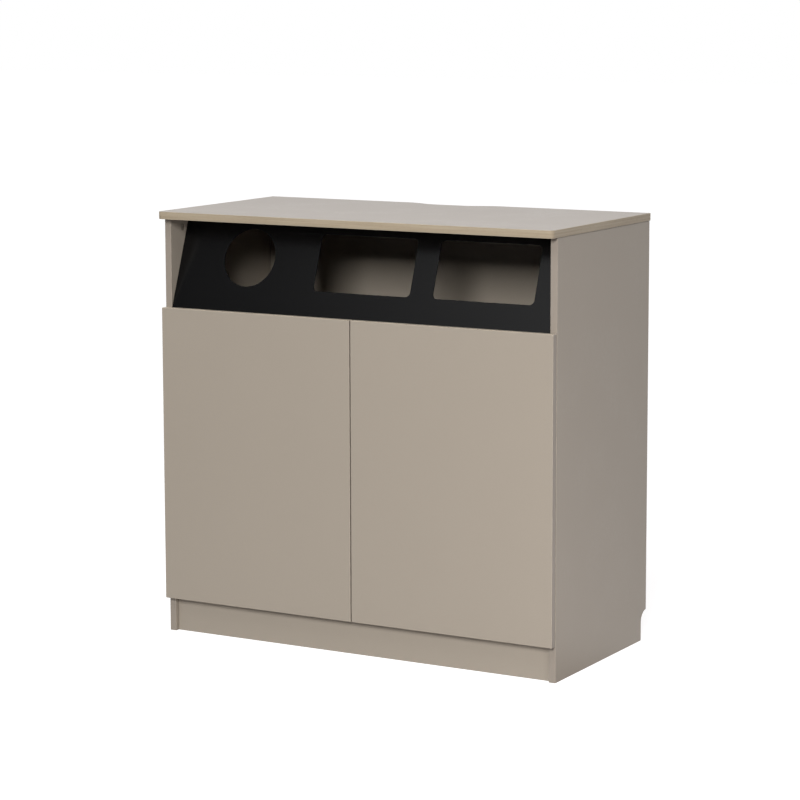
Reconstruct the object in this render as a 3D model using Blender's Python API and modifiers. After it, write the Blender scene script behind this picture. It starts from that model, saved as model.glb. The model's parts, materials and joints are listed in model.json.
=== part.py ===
"""Waste-sorting cabinet: a two-door laminated cabinet with a bent steel sorting panel above the doors.

Lengths are in metres. +X is to the right, -Y is the front and +Z is up. The origin lies on the floor
under the middle of the top board.
"""

import math

import bmesh
import bpy
from mathutils import Matrix, Vector

# Overall sizes and boards
TOP_WIDTH = 1.000
TOP_DEPTH = 0.490
HEIGHT = 0.975
BOARD = 0.016
TOP_THICKNESS = 0.017
DOOR_THICKNESS = 0.016
EDGE_ROUND = 0.0006
EDGE_ROUND_STEPS = 1
SEAT = 0.0003

# Top board
TOP_OVERHANG = 0.002
TOP_CORNER_RADIUS = 0.012
BAND_THICKNESS = 0.0015
RECESS_WIDTH = 0.240
RECESS_DEPTH = 0.025
RECESS_RUN = 0.085
RECESS_STEPS = 8

# Doors, niche and base
TOP_LIP = 0.0105
DOOR_GAP = 0.0015
DOOR_REVEAL = 0.0004
DOOR_SEAM = 0.003
NICHE_HEIGHT = 0.203
PLINTH_HEIGHT = 0.080
PLINTH_SETBACK = 0.011
SKIRTING_DEPTH = 0.026
SKIRTING_HEIGHT = 0.068

# Sorting panel, measured up its slope from the lower bend
SHEET = 0.002
PANEL_LEAN = math.radians(19.6)
PANEL_DROP = 0.003
PANEL_BEND_RADIUS = 0.003
PANEL_LOWER_FLANGE = 0.032
PANEL_UPPER_FLANGE = 0.022
BAND_BELOW_OPENINGS = 0.061
BAND_ABOVE_OPENINGS = 0.026
OPENING_WIDTH = 0.246
OPENING_CORNER_RADIUS = 0.011
OPENING_SHIFT = 0.006
ROUND_OPENING_DIAMETER = 0.134
ROUND_OPENING_RISE = 0.002
END_FLANGE_DEPTH = 0.018
END_FLANGE_MARGIN = 0.035
PANEL_SCREW_MARGIN = 0.020
PANEL_SCREW_RADIUS = 0.0018
PANEL_SCREW_LENGTH = 0.014
PANEL_SCREW_HEAD_RADIUS = 0.0036
PANEL_SCREW_HEAD_HEIGHT = 0.0022
PANEL_SCREW_CROWN_RADIUS = 0.0022
PANEL_SCREW_CROWN_DROP = 0.0002
PANEL_SCREW_RIM_HEIGHT = 0.0008

# Concealed hinges
HINGE_INSET = 0.100
CUP_DIAMETER = 0.035
CUP_DEPTH = 0.012
CUP_WALL = 0.0007
CUP_EDGE_DISTANCE = 0.0046
CUP_FLANGE_THICKNESS = 0.001
CUP_FLANGE_LENGTH = 0.052
CUP_FLANGE_WIDTH = 0.0195
CUP_SCREW_SPACING = 0.045
CUP_SCREW_OFFSET = 0.0095
CUP_FLANGE_CLEARANCE = 0.0012
CUP_RIM_RAISE = 0.0004
PIN_RADIUS = 0.0014
PIN_CLEARANCE = 0.0001
CUP_PIN_OFFSET = 0.011
CUP_PIN_DEPTH = 0.003
ARM_PIN_STANDOFF = 0.020
ARM_PIN_SETBACK = 0.008
LINK_WIDTH = 0.012
LINK_THICKNESS = 0.0025
LINK_EYE_RADIUS = 0.0032
LINK_CRANK_RADIUS = 0.0035
LINK_DIP = 0.0029
LINK_DIP_START = 0.0035
LINK_DIP_END = 0.0115
LINK_KNEE_IN = 0.0065
LINK_KNEE_FORWARD = 0.0095
ARM_WALL = 0.0013
ARM_SIDE_CLEARANCE = 0.0005
ARM_NOSE_RADIUS = 0.0045
ARM_TAIL_HEIGHT = 0.009
ARM_SHOULDER = 0.030
ARM_LENGTH = 0.058
PLATE_THICKNESS = 0.002
PLATE_WING_LENGTH = 0.050
PLATE_WING_WIDTH = 0.013
PLATE_SETBACK = 0.037
PLATE_SCREW_SPACING = 0.032
HINGE_SCREW_RADIUS = 0.0019
ARM_SCREW_RADIUS = 0.003
ARM_SCREW_MARGIN = 0.006
BUMPER_RADIUS = 0.005
BUMPER_INSET = 0.014

# Cam fittings between boards
CAM_RADIUS = 0.0075
CAM_DEPTH = 0.0125
CAM_BACKSET = 0.024
CAM_FROM_FRONT = 0.050
CAM_FROM_BACK = 0.050
CAM_SLOT_WIDTH = 0.0022
CAM_SLOT_LENGTH = 0.009
CAM_SLOT_DEPTH = 0.003
BOLT_HEAD_RADIUS = 0.003
BOLT_HEAD_LENGTH = 0.003
BOLT_NECK_RADIUS = 0.0020
BOLT_NECK_LENGTH = 0.006
BOLT_SHANK_RADIUS = 0.0034
BOLT_THREAD_RADIUS = 0.0029
BOLT_THREAD_LENGTH = 0.010

# Dowels that locate the back panel and the plinth
DOWEL_RADIUS = 0.004
DOWEL_LENGTH = 0.032
DOWEL_IN_SIDE = 0.010
DOWEL_CHAMFER = 0.001
BACK_DOWEL_MARGIN = 0.100

# Bins
BIN_SIDE_ROOM = 0.033
BIN_GAP = 0.011
BIN_FRONT_ROOM = 0.035
BIN_BACK_ROOM = 0.030
BIN_TOP_ROOM = 0.060
BIN_WALL = 0.0025
BIN_TAPER = 0.016
BIN_RIM = 0.007
BIN_LIP = 0.016
BIN_CORNER_RADIUS = 0.034
BIN_FLOOR_ROUND = 0.008

# Smoothness of curved pieces
SMOOTH_ANGLE = math.radians(35)
WELD = 1e-5
CORNER_STEPS = 5
BIN_CORNER_STEPS = 4
SMALL_CORNER_STEPS = 3
BAR_CORNER_STEPS = 2
ROUND_STEPS = 24
CAM_STEPS = 16
SMALL_ROUND_STEPS = 12
BOLT_STEPS = 8
OPENING_STEPS = 48
CUTTER_REACH = 0.010

# Places that follow from the sizes
FRONT = -TOP_DEPTH / 2
REAR = TOP_DEPTH / 2
SIDE_OUT = TOP_WIDTH / 2 - TOP_OVERHANG
SIDE_IN = SIDE_OUT - BOARD
DOOR_FRONT = FRONT + TOP_LIP
DOOR_BACK = DOOR_FRONT + DOOR_THICKNESS
SIDE_FRONT = DOOR_BACK + DOOR_GAP
UNDER_TOP = HEIGHT - TOP_THICKNESS
DOOR_TOP = UNDER_TOP - NICHE_HEIGHT
DOOR_BOTTOM = PLINTH_HEIGHT
DOOR_OUTER = SIDE_OUT - DOOR_REVEAL
DOOR_INNER = DOOR_SEAM / 2
FLOOR_TOP = PLINTH_HEIGHT + BOARD
BACK_REAR = REAR - SKIRTING_DEPTH
BACK_FRONT = BACK_REAR - BOARD
PANEL_BEND_Z = DOOR_TOP - PANEL_DROP
PANEL_SLOPE = (UNDER_TOP - SEAT - PANEL_BEND_Z) / math.cos(PANEL_LEAN)
OPENING_HEIGHT = PANEL_SLOPE - BAND_BELOW_OPENINGS - BAND_ABOVE_OPENINGS
CUP_RADIUS = CUP_DIAMETER / 2
CUP_CENTRE = DOOR_OUTER - CUP_EDGE_DISTANCE - CUP_RADIUS
CUP_PIN_X = CUP_CENTRE + CUP_PIN_OFFSET
CUP_PIN_Y = DOOR_BACK - CUP_PIN_DEPTH
ARM_PIN_X = SIDE_IN - ARM_PIN_STANDOFF
ARM_PIN_Y = SIDE_FRONT + ARM_PIN_SETBACK
BIN_WIDTH = (2 * (SIDE_IN - BIN_SIDE_ROOM) - 2 * BIN_GAP) / 3
BIN_PITCH = BIN_WIDTH + BIN_GAP
BIN_FRONT = SIDE_FRONT + BIN_FRONT_ROOM
BIN_BACK = BACK_FRONT - BIN_BACK_ROOM
BIN_BOTTOM = FLOOR_TOP + SEAT
BIN_TOP = PANEL_BEND_Z - PANEL_LOWER_FLANGE - BIN_TOP_ROOM

# Turns a drawing in X and Y so that its X runs along world Y and its Y along world Z
SIDE_VIEW = Matrix(((0, 0, 1, 0), (1, 0, 0, 0), (0, 1, 0, 0), (0, 0, 0, 1)))


def clear_scene():
    """Removes what the file opens with and makes the two collections."""
    for item in list(bpy.data.objects):
        bpy.data.objects.remove(item, do_unlink=True)
    found = []
    for name in ("waste_sorting_cabinet", "cutters"):
        collection = bpy.data.collections.new(name)
        bpy.context.scene.collection.children.link(collection)
        found.append(collection)
    return found


PARTS, CUTTERS = clear_scene()


def finish(name, colour, roughness, metallic=0.0):
    """A plain material with one colour."""
    material = bpy.data.materials.new(name)
    material.use_nodes = True
    shader = material.node_tree.nodes["Principled BSDF"]
    shader.inputs["Base Color"].default_value = (*colour, 1.0)
    shader.inputs["Roughness"].default_value = roughness
    shader.inputs["Metallic"].default_value = metallic
    return material


TAUPE = finish("taupe_laminate", (0.36, 0.32, 0.27), 0.55)
TOP_LAMINATE = finish("top_laminate", (0.46, 0.42, 0.39), 0.5)
WOOD_BAND = finish("wood_look_band", (0.47, 0.39, 0.27), 0.5)
BLACK_STEEL = finish("black_powder_coat", (0.012, 0.012, 0.013), 0.5)
PLATED_STEEL = finish("nickel_plated_steel", (0.62, 0.61, 0.59), 0.3, 1.0)
ZINC = finish("zinc_cam", (0.45, 0.45, 0.46), 0.45, 1.0)
BEECH = finish("beech", (0.55, 0.40, 0.24), 0.7)
BIN_PLASTIC = finish("bin_plastic", (0.045, 0.047, 0.05), 0.55)
SOFT_CLEAR = finish("bumper_plastic", (0.75, 0.75, 0.72), 0.4)


def add(name, mesh, material=None):
    """Puts a mesh in the scene: a part if it has a material, otherwise a cutter that doesn't render."""
    item = bpy.data.objects.new(name, mesh)
    if material is None:
        CUTTERS.objects.link(item)
        item.hide_render = True
        item.display_type = "WIRE"
    else:
        PARTS.objects.link(item)
        mesh.materials.append(material)
    return item


def mesh_from(name, edit):
    mesh = bpy.data.meshes.new(name)
    edit.to_mesh(mesh)
    edit.free()
    return mesh


def smooth(item):
    item.data.shade_smooth()
    item.data.set_sharp_from_angle(angle=SMOOTH_ANGLE)


def block(name, low, high, material=None):
    """A box between two corners, with its origin in the middle."""
    low, high = Vector(low), Vector(high)
    edit = bmesh.new()
    bmesh.ops.create_cube(edit, size=1, matrix=Matrix.Diagonal((*(high - low), 1)))
    item = add(name, mesh_from(name, edit), material)
    item.location = (low + high) / 2
    return item


def rod(name, radius, start, end, material=None, steps=SMALL_ROUND_STEPS):
    """A round bar from start to end."""
    start, end = Vector(start), Vector(end)
    edit = bmesh.new()
    length = (end - start).length
    bmesh.ops.create_cone(edit, cap_ends=True, segments=steps, radius1=radius, radius2=radius, depth=length)
    item = add(name, mesh_from(name, edit), material)
    turn = (end - start).to_track_quat("Z", "Y").to_matrix().to_4x4()
    item.matrix_basis = Matrix.Translation((start + end) / 2) @ turn
    return item


def plate(name, outline, thickness, place, material=None):
    """A flat outline, drawn in X and Y and filled, with half its thickness to each side of the drawing."""
    curve = bpy.data.curves.new(name, "CURVE")
    curve.dimensions = "2D"
    curve.fill_mode = "BOTH"
    curve.extrude = thickness / 2
    spline = curve.splines.new("POLY")
    spline.points.add(len(outline) - 1)
    for point, (x, y) in zip(spline.points, outline):
        point.co = (x, y, 0, 1)
    spline.use_cyclic_u = True
    drawn = bpy.data.objects.new(name + "_outline", curve)
    bpy.context.scene.collection.objects.link(drawn)
    graph = bpy.context.evaluated_depsgraph_get()
    mesh = bpy.data.meshes.new_from_object(drawn.evaluated_get(graph))
    bpy.data.objects.remove(drawn)
    bpy.data.curves.remove(curve)
    edit = bmesh.new()
    edit.from_mesh(mesh)
    bmesh.ops.remove_doubles(edit, verts=edit.verts, dist=WELD)
    bmesh.ops.recalc_face_normals(edit, faces=edit.faces)
    edit.to_mesh(mesh)
    edit.free()
    mesh.name = name
    item = add(name, mesh, material)
    item.matrix_basis = place
    return item


def turned(name, profile, place, material, steps=SMALL_ROUND_STEPS):
    """A profile of (radius, height) points, top to bottom, turned round its own Z axis."""
    edit = bmesh.new()
    points = [edit.verts.new((radius, 0, height)) for radius, height in profile]
    for first, second in zip(points, points[1:]):
        edit.edges.new((first, second))
    item = add(name, mesh_from(name, edit), material)
    screw = item.modifiers.new("turn", "SCREW")
    screw.steps = screw.render_steps = steps
    screw.use_merge_vertices = True
    screw.merge_threshold = WELD
    item.matrix_basis = place
    return item


def combine(item, other, operation):
    """Cuts another shape out of an object, or joins it on, and keeps that shape out of the render."""
    if other.name in PARTS.objects:
        PARTS.objects.unlink(other)
        CUTTERS.objects.link(other)
        other.hide_render = True
        other.display_type = "WIRE"
    modifier = item.modifiers.new(f"{operation.lower()} {other.name}", "BOOLEAN")
    modifier.operation = operation
    modifier.object = other
    return item


def cut(item, cutter):
    return combine(item, cutter, "DIFFERENCE")


def join(item, other):
    return combine(item, other, "UNION")


def ease_edges(item):
    """The small round that an edge-banded board has along its edges."""
    bevel = item.modifiers.new("eased edges", "BEVEL")
    bevel.width = EDGE_ROUND
    bevel.segments = EDGE_ROUND_STEPS
    bevel.limit_method = "ANGLE"
    return item


def arc(centre, radius, start, end, steps):
    """Points on an arc, with both ends; angles in degrees."""
    points = []
    for step in range(steps + 1):
        angle = math.radians(start + (end - start) * step / steps)
        points.append((centre[0] + radius * math.cos(angle), centre[1] + radius * math.sin(angle)))
    return points


def rounded_rectangle(width, height, radius, centre=(0, 0), steps=CORNER_STEPS):
    """A rectangle with round corners, counter-clockwise."""
    right, top = width / 2 - radius, height / 2 - radius
    points = []
    for quarter, (x, y) in enumerate(((right, -top), (right, top), (-right, top), (-right, -top))):
        start = -90 + 90 * quarter
        points += arc((centre[0] + x, centre[1] + y), radius, start, start + 90, steps)
    return points


def rounded_path(points, radius, steps=CORNER_STEPS):
    """An open path with each inner corner replaced by an arc of this radius."""
    points = [Vector(point) for point in points]
    path = [points[0]]
    for before, corner, after in zip(points, points[1:], points[2:]):
        back, ahead = (before - corner).normalized(), (after - corner).normalized()
        half = back.angle(ahead) / 2
        middle = corner + (back + ahead).normalized() * (radius / math.sin(half))
        first = corner + back * (radius / math.tan(half)) - middle
        last = corner + ahead * (radius / math.tan(half)) - middle
        sweep = first.angle_signed(last)
        for step in range(steps + 1):
            spoke = first.copy()
            spoke.rotate(Matrix.Rotation(-sweep * step / steps, 2))
            path.append(middle + spoke)
    path.append(points[-1])
    return path


def ribbon(path, left, right):
    """The outline of a strip along an open path, reaching this far to its left and to its right."""
    path = [Vector(point) for point in path]
    sides = [[], []]
    for index, point in enumerate(path):
        before = (point - path[index - 1]).normalized() if index else None
        after = (path[index + 1] - point).normalized() if index + 1 < len(path) else None
        along = ((before or after) + (after or before)).normalized()
        normal = Vector((-along.y, along.x))
        stretch = 1 / along.dot(after or before)
        sides[0].append(point + normal * (left * stretch))
        sides[1].append(point - normal * (right * stretch))
    return [tuple(point) for point in sides[1] + sides[0][::-1]]


def pivot(name, x, y):
    """An empty on an upright joint axis."""
    empty = bpy.data.objects.new(name, None)
    empty.empty_display_size = CUP_RADIUS
    empty.location = (x, y, (DOOR_BOTTOM + DOOR_TOP) / 2)
    PARTS.objects.link(empty)
    return empty


def carry(item, empty):
    """Hangs a piece on a joint's empty without moving it."""
    item.parent = empty
    item.matrix_parent_inverse = Matrix.Translation(-empty.location)
    return item


def top_path():
    """The top board's outer edge from the left rear corner, round the front, to the right rear corner."""
    half = TOP_WIDTH / 2
    corners = [(-half, REAR), (-half, FRONT), (half, FRONT), (half, REAR)]
    return rounded_path(corners, TOP_CORNER_RADIUS)


def recess_edge():
    """The cable recess in the rear edge, right to left: two half cosine waves with a flat between them."""
    points = []
    for sign in (1, -1):
        for step in range(RECESS_STEPS + 1):
            share = step / RECESS_STEPS
            if sign < 0:
                share = 1 - share
            x = sign * (RECESS_WIDTH / 2 - RECESS_RUN * share)
            points.append((x, REAR - RECESS_DEPTH * (1 - math.cos(math.pi * share)) / 2))
    return points


def make_top():
    """Top board with the cable recess, and the wood-look band round its front and ends."""
    level = Matrix.Translation((0, 0, UNDER_TOP + TOP_THICKNESS / 2))
    path = top_path()
    band = plate("top_edge_band", ribbon(path, BAND_THICKNESS, 0), TOP_THICKNESS, level, WOOD_BAND)
    ease_edges(band)
    inset = BAND_THICKNESS + SEAT
    inner = ribbon(path, inset, 0)[len(path):][::-1]
    board = plate("top_board", inner + recess_edge(), TOP_THICKNESS, level, TOP_LAMINATE)
    return ease_edges(board)


def make_side(name, hand):
    """A side panel with a round-topped notch for the skirting board at its lower rear corner."""
    outline = [(SIDE_FRONT, 0), (REAR - SKIRTING_DEPTH, 0)]
    outline += arc((REAR, SKIRTING_HEIGHT - SKIRTING_DEPTH), SKIRTING_DEPTH, 180, 90, 2 * CORNER_STEPS)
    outline += [(REAR, UNDER_TOP - SEAT), (SIDE_FRONT, UNDER_TOP - SEAT)]
    place = Matrix.Translation((hand * (SIDE_OUT - BOARD / 2), 0, 0)) @ SIDE_VIEW
    return ease_edges(plate(name, outline, BOARD, place, TAUPE))


def make_boards():
    """Bottom, back and plinth between the side panels."""
    reach = SIDE_IN - SEAT
    bottom = block(
        "bottom_board",
        (-reach, SIDE_FRONT, PLINTH_HEIGHT),
        (reach, BACK_FRONT - SEAT, FLOOR_TOP),
        TAUPE,
    )
    back = block(
        "back_panel",
        (-reach, BACK_FRONT, PLINTH_HEIGHT),
        (reach, BACK_REAR, UNDER_TOP - SEAT),
        TAUPE,
    )
    plinth_front = SIDE_FRONT + PLINTH_SETBACK
    plinth = block(
        "plinth_board",
        (-reach, plinth_front, 0),
        (reach, plinth_front + BOARD, PLINTH_HEIGHT - SEAT),
        TAUPE,
    )
    for board in (bottom, back, plinth):
        ease_edges(board)
    return bottom, back, plinth


def make_dowels(sides, back, plinth):
    """Beech dowels across the joints of the side panels with the back panel and the plinth."""
    back_middle = (BACK_FRONT + BACK_REAR) / 2
    plinth_middle = SIDE_FRONT + PLINTH_SETBACK + BOARD / 2
    places = (
        ("lower_back", back, back_middle, PLINTH_HEIGHT + BACK_DOWEL_MARGIN),
        ("upper_back", back, back_middle, UNDER_TOP - BACK_DOWEL_MARGIN),
        ("plinth", plinth, plinth_middle, PLINTH_HEIGHT / 2),
    )
    end = DOWEL_LENGTH / 2
    profile = [
        (0, end),
        (DOWEL_RADIUS - DOWEL_CHAMFER, end),
        (DOWEL_RADIUS, end - DOWEL_CHAMFER),
        (DOWEL_RADIUS, DOWEL_CHAMFER - end),
        (DOWEL_RADIUS - DOWEL_CHAMFER, -end),
        (0, -end),
    ]
    across = Matrix.Rotation(math.pi / 2, 4, "Y")
    for word, hand, side in (("left", -1, sides[0]), ("right", 1, sides[1])):
        for level, board, y, z in places:
            name = f"{word}_{level}_dowel"
            middle = Vector((hand * (SIDE_IN + DOWEL_IN_SIDE - end), y, z))
            smooth(turned(name, profile, Matrix.Translation(middle) @ across, BEECH))
            reach = Vector((end + SEAT, 0, 0))
            bore = rod(f"{name}_bore", DOWEL_RADIUS + SEAT, middle - reach, middle + reach)
            cut(side, bore)
            cut(board, bore)


def panel_point(x, up, back):
    """A point given along the sorting panel's slope from its lower bend, and behind its front face."""
    lean, rise = math.sin(PANEL_LEAN), math.cos(PANEL_LEAN)
    return Vector((x, SIDE_FRONT + up * lean + back * rise, PANEL_BEND_Z + up * rise - back * lean))


def panel_plane(x, up, back):
    """Turns a drawing so that its X runs to the right, its Y up the slope and its Z forward."""
    origin = panel_point(x, up, back)
    slope = panel_point(0, 1, 0) - panel_point(0, 0, 0)
    axes = Matrix((Vector((1, 0, 0)), slope, Vector((1, 0, 0)).cross(slope))).transposed()
    return Matrix.Translation(origin) @ axes.to_4x4()


def make_sorting_panel(sides):
    """Bent sheet with a round and two rectangular openings, flanged all round and screwed to the sides."""
    top_bend = panel_point(0, PANEL_SLOPE, 0)
    corners = [
        (SIDE_FRONT, PANEL_BEND_Z - PANEL_LOWER_FLANGE),
        (SIDE_FRONT, PANEL_BEND_Z),
        (top_bend.y, top_bend.z),
        (top_bend.y + PANEL_UPPER_FLANGE, top_bend.z),
    ]
    path = rounded_path(corners, PANEL_BEND_RADIUS)
    end = SIDE_IN - SEAT
    panel = plate("sorting_panel", ribbon(path, 0, SHEET), 2 * end, SIDE_VIEW, BLACK_STEEL)
    middle = BAND_BELOW_OPENINGS + OPENING_HEIGHT / 2
    deep = 2 * (SHEET + CUTTER_REACH)
    for name, hand in (("middle", 0), ("right", 1)):
        outline = rounded_rectangle(OPENING_WIDTH, OPENING_HEIGHT, OPENING_CORNER_RADIUS)
        place = panel_plane(OPENING_SHIFT + hand * BIN_PITCH, middle, 0)
        cut(panel, plate(f"{name}_opening_cutter", outline, deep, place))
    hole = (OPENING_SHIFT - BIN_PITCH, middle + ROUND_OPENING_RISE)
    bore = rod(
        "round_opening_cutter",
        ROUND_OPENING_DIAMETER / 2,
        panel_point(*hole, -CUTTER_REACH),
        panel_point(*hole, CUTTER_REACH),
        steps=OPENING_STEPS,
    )
    cut(panel, bore)
    flange_long = PANEL_SLOPE - 2 * END_FLANGE_MARGIN
    flange = [(0, -flange_long / 2), (END_FLANGE_DEPTH, -flange_long / 2)]
    flange += [(END_FLANGE_DEPTH, flange_long / 2), (0, flange_long / 2)]
    for word, hand, side in (("left", -1, sides[0]), ("right", 1, sides[1])):
        origin = panel_point(hand * (end - SHEET / 2), PANEL_SLOPE / 2, SHEET / 2)
        turn = SIDE_VIEW.to_3x3() @ Matrix.Rotation(-PANEL_LEAN, 3, "Z")
        place = Matrix.Translation(origin) @ turn.to_4x4()
        join(panel, plate(f"{word}_flange", flange, SHEET, place, BLACK_STEEL))
        for level, up in (("lower", END_FLANGE_MARGIN), ("upper", PANEL_SLOPE - END_FLANGE_MARGIN)):
            step_in = PANEL_SCREW_MARGIN if level == "lower" else -PANEL_SCREW_MARGIN
            seat = panel_point(hand * (end - SHEET), up + step_in, SHEET + END_FLANGE_DEPTH / 2)
            make_panel_screw(f"{word}_{level}_panel_screw", seat, hand, panel, side)
    return panel


def make_panel_screw(name, seat, hand, panel, side):
    """A pan-head screw through the panel's end flange into the side panel, with its clearance holes."""
    outward = Vector((hand, 0, 0))
    under_head = seat - outward * SEAT
    profile = [
        (0, PANEL_SCREW_HEAD_HEIGHT),
        (PANEL_SCREW_CROWN_RADIUS, PANEL_SCREW_HEAD_HEIGHT - PANEL_SCREW_CROWN_DROP),
        (PANEL_SCREW_HEAD_RADIUS, PANEL_SCREW_RIM_HEIGHT),
        (PANEL_SCREW_HEAD_RADIUS, 0),
        (PANEL_SCREW_RADIUS, 0),
        (PANEL_SCREW_RADIUS, PANEL_SCREW_RADIUS - PANEL_SCREW_LENGTH),
        (0, -PANEL_SCREW_LENGTH),
    ]
    turn = (-outward).to_track_quat("Z", "Y").to_matrix().to_4x4()
    smooth(turned(name, profile, Matrix.Translation(under_head) @ turn, PLATED_STEEL))
    deepest = under_head + outward * (PANEL_SCREW_LENGTH + SEAT)
    hole = rod(f"{name}_hole", PANEL_SCREW_RADIUS + SEAT, seat - outward * SHEET, deepest)
    cut(panel, hole)
    cut(side, hole)


def make_door(name, hand, door_axis, link_axis, side_word):
    """A door with its hinges and bumpers. hand is -1 for the left door and 1 for the right one."""
    inner, outer = sorted((hand * DOOR_INNER, hand * DOOR_OUTER))
    door = block(name, (inner, DOOR_FRONT, DOOR_BOTTOM), (outer, DOOR_BACK, DOOR_TOP), TAUPE)
    ease_edges(door)
    carry(door, door_axis)
    for level, z in (("lower", DOOR_BOTTOM + HINGE_INSET), ("upper", DOOR_TOP - HINGE_INSET)):
        word = f"{side_word}_{level}"
        carry(make_cup(word, hand, z, door), door_axis)
        carry(make_link(word, hand, z), link_axis)
        make_arm(word, hand, z)
        make_hinge_plate(word, hand, z)
    flange_middle = PANEL_BEND_Z - PANEL_LOWER_FLANGE / 2
    for level, z in (("lower", PLINTH_HEIGHT + BOARD / 2), ("upper", flange_middle)):
        x = hand * (DOOR_INNER + BUMPER_INSET)
        start = Vector((x, DOOR_BACK + SEAT, z))
        end = Vector((x, SIDE_FRONT - SEAT, z))
        bumper = rod(f"{side_word}_{level}_bumper", BUMPER_RADIUS, start, end, SOFT_CLEAR)
        carry(bumper, door_axis)
    return door


def make_cup(word, hand, z, door):
    """A hinge cup let into the door, with its fixing flange and the pin that the link turns on."""
    centre = hand * CUP_CENTRE
    depth, radius = CUP_DEPTH - SEAT, CUP_RADIUS - SEAT
    rim = SEAT + CUP_FLANGE_THICKNESS + CUP_RIM_RAISE
    inner = radius - CUP_WALL
    profile = [
        (inner, rim),
        (radius, rim),
        (radius, CUP_WALL - depth),
        (radius - CUP_WALL, -depth),
        (0, -depth),
        (0, CUP_WALL - depth),
        (inner - CUP_WALL, CUP_WALL - depth),
        (inner, rim),
    ]
    out_of_door = Matrix.Translation((centre, DOOR_BACK, z)) @ Matrix.Rotation(-math.pi / 2, 4, "X")
    cup = turned(f"{word}_hinge_cup", profile, out_of_door, PLATED_STEEL, steps=ROUND_STEPS)
    flange_inner = SIDE_IN - CUP_FLANGE_CLEARANCE
    flange_middle = hand * (flange_inner - SEAT - CUP_FLANGE_WIDTH / 2)
    corner = CUP_FLANGE_WIDTH / 4
    outline = rounded_rectangle(CUP_FLANGE_WIDTH, CUP_FLANGE_LENGTH, corner, steps=SMALL_CORNER_STEPS)
    back_view = Matrix.Rotation(math.pi / 2, 4, "X")
    level = DOOR_BACK + SEAT + CUP_FLANGE_THICKNESS / 2
    place = Matrix.Translation((flange_middle, level, z)) @ back_view
    flange = plate(f"{word}_cup_flange", outline, CUP_FLANGE_THICKNESS, place, PLATED_STEEL)
    mouth_start = (centre, DOOR_BACK, z)
    mouth_end = (centre, DOOR_BACK + CUTTER_REACH, z)
    mouth_radius = inner + CUP_WALL / 2
    cut(flange, rod(f"{word}_cup_mouth", mouth_radius, mouth_start, mouth_end, steps=ROUND_STEPS))
    screw_x = centre - hand * CUP_SCREW_OFFSET
    for end, half in (("lower", -CUP_SCREW_SPACING / 2), ("upper", CUP_SCREW_SPACING / 2)):
        start, stop = (screw_x, DOOR_BACK, z + half), (screw_x, DOOR_BACK + CUTTER_REACH, z + half)
        cut(flange, rod(f"{word}_{end}_cup_screw_hole", HINGE_SCREW_RADIUS, start, stop))
    join(cup, flange)
    trim_low = Vector((hand * flange_inner, DOOR_BACK - SEAT, z - CUP_FLANGE_LENGTH))
    trim_high = Vector((hand * SIDE_OUT, DOOR_BACK + CUTTER_REACH, z + CUP_FLANGE_LENGTH))
    low = [min(pair) for pair in zip(trim_low, trim_high)]
    high = [max(pair) for pair in zip(trim_low, trim_high)]
    cut(cup, block(f"{word}_cup_trim", low, high))
    half = math.sqrt((radius - CUP_WALL / 2) ** 2 - (CUP_PIN_OFFSET + PIN_RADIUS) ** 2)
    pin_at = (hand * CUP_PIN_X, CUP_PIN_Y)
    join(cup, rod(f"{word}_cup_pin", PIN_RADIUS, (*pin_at, z - half), (*pin_at, z + half), PLATED_STEEL))
    bore_start = (centre, DOOR_BACK - CUP_DEPTH, z)
    cut(door, rod(f"{word}_cup_bore", CUP_RADIUS, bore_start, mouth_end, steps=ROUND_STEPS))
    return cup


def make_link(word, hand, z):
    """The cranked strap between the cup's pin and the arm's pin, with an eye at each end."""
    corners = [
        (CUP_PIN_X, CUP_PIN_Y),
        (CUP_PIN_X - LINK_DIP_START, CUP_PIN_Y - LINK_DIP),
        (CUP_PIN_X - LINK_DIP_END, CUP_PIN_Y - LINK_DIP),
        (ARM_PIN_X + LINK_KNEE_IN, ARM_PIN_Y - LINK_KNEE_FORWARD),
        (ARM_PIN_X, ARM_PIN_Y),
    ]
    path = rounded_path([(hand * x, y) for x, y in corners], LINK_CRANK_RADIUS, SMALL_CORNER_STEPS)
    outline = ribbon(path, LINK_THICKNESS / 2, LINK_THICKNESS / 2)
    place = Matrix.Translation((0, 0, z))
    link = plate(f"{word}_hinge_link", outline, LINK_WIDTH, place, PLATED_STEEL)
    for end, (x, y) in (("cup", corners[0]), ("arm", corners[-1])):
        for part, radius, half, change in (
            ("eye", LINK_EYE_RADIUS, LINK_WIDTH / 2 + SEAT / 2, join),
            ("hole", PIN_RADIUS + PIN_CLEARANCE, LINK_WIDTH, cut),
        ):
            low, high = (hand * x, y, z - half), (hand * x, y, z + half)
            change(link, rod(f"{word}_{end}_{part}", radius, low, high))
    return link


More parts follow.
